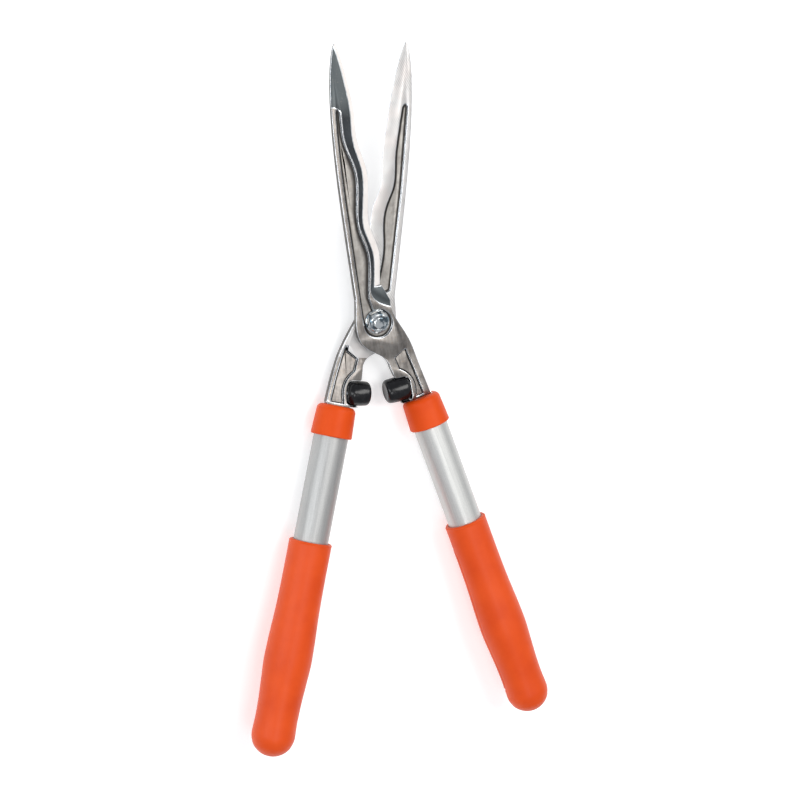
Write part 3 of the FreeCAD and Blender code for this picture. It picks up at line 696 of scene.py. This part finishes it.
def seamDepth(side, radius, height, angle):
    middle = math.radians(panel[side]["middle"])
    across = abs((angle - middle + math.pi) % (2 * math.pi) - math.pi) * radius
    centre = (panel["from"] + panel["to"]) / 2 * grip["length"]
    reach = (panel["to"] - panel["from"]) / 2 * grip["length"]
    corner = panel["corner"]
    dx = across - (math.radians(panel["half"]) * radius - corner)
    dy = abs(-height - centre) - (reach - corner)
    apart = math.hypot(max(dx, 0.0), max(dy, 0.0)) + min(max(dx, dy), 0.0) - corner
    groove = math.exp(-(apart / panel["width"]) ** 2) * panel["groove"]
    return -groove + panel["lift"] * (clamp(0.5 - apart / 1.5) - 1.0)


def makeGrip(side):
    plain = grip["tube"] + grip["wall"]
    dome = plain + grip["endWider"]
    length = grip["length"]
    bore = grip["tube"] + grip["push"]
    outer = []
    top = -grip["lip"] * 1.1
    foot = dome - length
    for i in range(grip["rows"]):
        height = top + (foot - top) * i / (grip["rows"] - 1)
        outer.append((plain + grip["swell"] * curveThrough(grip["swells"], -height / length), height))
    end = arc(0.0, foot, outer[-1][0], 0, -90, 26)[1:-1]
    mouth = [(bore + 0.3, 0.0), (plain - grip["lip"] - 0.3, 0.0)]
    mouth += arc(plain - grip["lip"], -0.45, 0.45, 90, 45, 3) + [(plain - 0.12, -grip["lip"] * 0.85)]
    profile = [(0.0, -length + grip["solidEnd"]), (bore, -length + grip["solidEnd"]), (bore, -0.4)]
    profile += mouth + outer + end + [(0.0, foot - outer[-1][0])]

    def shaping(radius, height, angle):
        if radius < plain - 0.5 and height > foot - 1:
            return 0.0
        return seamDepth(side, plain, height, angle) if height > foot - 8 and height < top else 0.0

    mesh = lathe(profile, grip["around"], shaping)
    mesh.materials.append(orangePlastic(side + "GripPlastic", 0.28))
    place = handleFrame(side) @ Matrix.Translation((0, 0, -grip["start"] * mm))
    piece = addPiece(side + "Grip", mesh, place, side + "_half", "orange_plastic", side + "_grip")
    smoothBy(piece.data, turnedCrease)


# Buffers
buffer = {"radius": 10.1, "face": 0.15, "seat": 18.8, "y": -59.3, "z": 3.8, "crown": 0.35, "dish": 0.5,
          "faceRadius": 6.6, "faceRound": 3.0, "seatRound": 4.6, "around": 96}


def makeBuffer(side):
    radius, crown = buffer["radius"], buffer["crown"]
    face = buffer["face"] - halves[side]["reach"]
    length = buffer["seat"] - face
    plain = radius - crown
    profile = [(0.0, buffer["dish"]), (buffer["faceRadius"] * 0.5, buffer["dish"] * 0.9),
               (buffer["faceRadius"] - 1.0, buffer["dish"] * 0.6),
               (buffer["faceRadius"] - 0.3, buffer["dish"] * 0.25)]
    profile += arc(plain - buffer["faceRound"], buffer["faceRound"], buffer["faceRound"], -90, -8, 10)
    for i in range(1, 12):
        t = i / 12
        height = buffer["faceRound"] + (length - buffer["faceRound"] - buffer["seatRound"]) * t
        profile.append((plain + crown * math.sin(math.pi * t), height))
    profile += arc(plain - buffer["seatRound"], length - buffer["seatRound"], buffer["seatRound"], 0, 88, 12)
    profile.append((0.0, length))
    mesh = lathe(profile, buffer["around"])
    mesh.materials.append(rubber)
    level = (-buffer["z"] if halves[side]["turned"] else buffer["z"]) - blade["gap"] / 2
    spot = Matrix.Translation(Vector((face, buffer["y"], level)) * mm)
    place = halfFrame(side) @ spot @ Matrix.Rotation(math.pi / 2, 4, "Y")
    piece = addPiece(side + "Buffer", mesh, place, side + "_half", "black_rubber", side + "_buffer")
    smoothBy(piece.data, turnedCrease)


rubber = blackRubber()
for side in halves:
    makeGrip(side)
    makeBuffer(side)
print("grips and buffers made")


# Pieces kept as they are, with their finishes
def dress(node, material):
    mesh = frame["nodes"][node].data
    mesh.materials.clear()
    mesh.materials.append(material)


sleeve, pin, bushMetal = sleevePlastic(), pinSteel(), bronze()
for side in halves:
    dress(side + "_tube", tubeAluminium(side))
    dress(side + "_collar", orangePlastic(side + "CollarPlastic", 0.16))
    dress(side + "_tang_sleeve", sleeve)
    dress(side + "_tang_pin", pin)
    dress(side + "_buffer_stud", pin)
for node in ("pivot_bush", "friction_shim"):
    dress(node, bushMetal)
print("finishes on")


# Floor, lights, camera
view = {"turn": (14.71, 19.91, 6.04), "offset": (0.01964, -0.06336, 1.2307), "lens": 69.66, "film": 36.0,
        "near": 0.01}


def addCamera():
    pitch, yaw, roll = (math.radians(angle) for angle in view["turn"])
    turn = Matrix.Rotation(yaw, 4, "Y") @ Matrix.Rotation(pitch, 4, "X") @ Matrix.Rotation(roll, 4, "Z")
    lens = bpy.data.cameras.new("camera")
    lens.lens = view["lens"]
    lens.sensor_width = view["film"]
    lens.clip_start = view["near"]
    camera = bpy.data.objects.new("camera", lens)
    camera.matrix_world = pivotFrame @ turn.transposed() @ Matrix.Translation(view["offset"])
    bpy.context.scene.collection.objects.link(camera)
    bpy.context.scene.camera = camera


def addFloor():
    work = bmesh.new()
    bmesh.ops.create_grid(work, x_segments=2, y_segments=2, size=floorCloth["size"])
    mesh = bpy.data.meshes.new("floor")
    work.to_mesh(mesh)
    work.free()
    mesh.materials.append(paleFloor())
    floor = bpy.data.objects.new("floor", mesh)
    floor.location.z = -floorCloth["drop"]  # clear of the pieces that rest on the ground
    bpy.context.scene.collection.objects.link(floor)


lamps = [
    {"name": "key", "from": (0.9, 0.7, 1.9), "size": (0.9, 1.6), "power": 26.0, "shade": (1.0, 0.99, 0.97)},
    {"name": "fill", "from": (-1.5, 0.2, 1.3), "size": (0.5, 1.8), "power": 13.0, "shade": (0.96, 0.98, 1.0)},
    {"name": "top", "from": (-0.25, -0.5, 2.4), "size": (0.7, 0.7), "power": 9.0, "shade": (1.0, 1.0, 1.0)},
]
aim = Vector((0.0, 0.0, 0.02))
room = {"shade": (0.55, 0.57, 0.60), "strength": 0.75}


def addLights():
    for lamp in lamps:
        light = bpy.data.lights.new(lamp["name"], "AREA")
        light.shape = "RECTANGLE"
        light.size, light.size_y = lamp["size"]
        light.energy = lamp["power"]
        light.color = lamp["shade"]
        holder = bpy.data.objects.new(lamp["name"], light)
        holder.location = lamp["from"]
        holder.rotation_euler = (aim - Vector(lamp["from"])).to_track_quat("-Z", "Y").to_euler()
        bpy.context.scene.collection.objects.link(holder)
    world = bpy.data.worlds.new("room")
    world.use_nodes = True
    sky = world.node_tree.nodes["Background"]
    sky.inputs["Color"].default_value = (*room["shade"], 1)
    sky.inputs["Strength"].default_value = room["strength"]
    bpy.context.scene.world = world
    bpy.context.scene.view_settings.view_transform = "Standard"


addFloor()
addCamera()
addLights()
print("stage set")
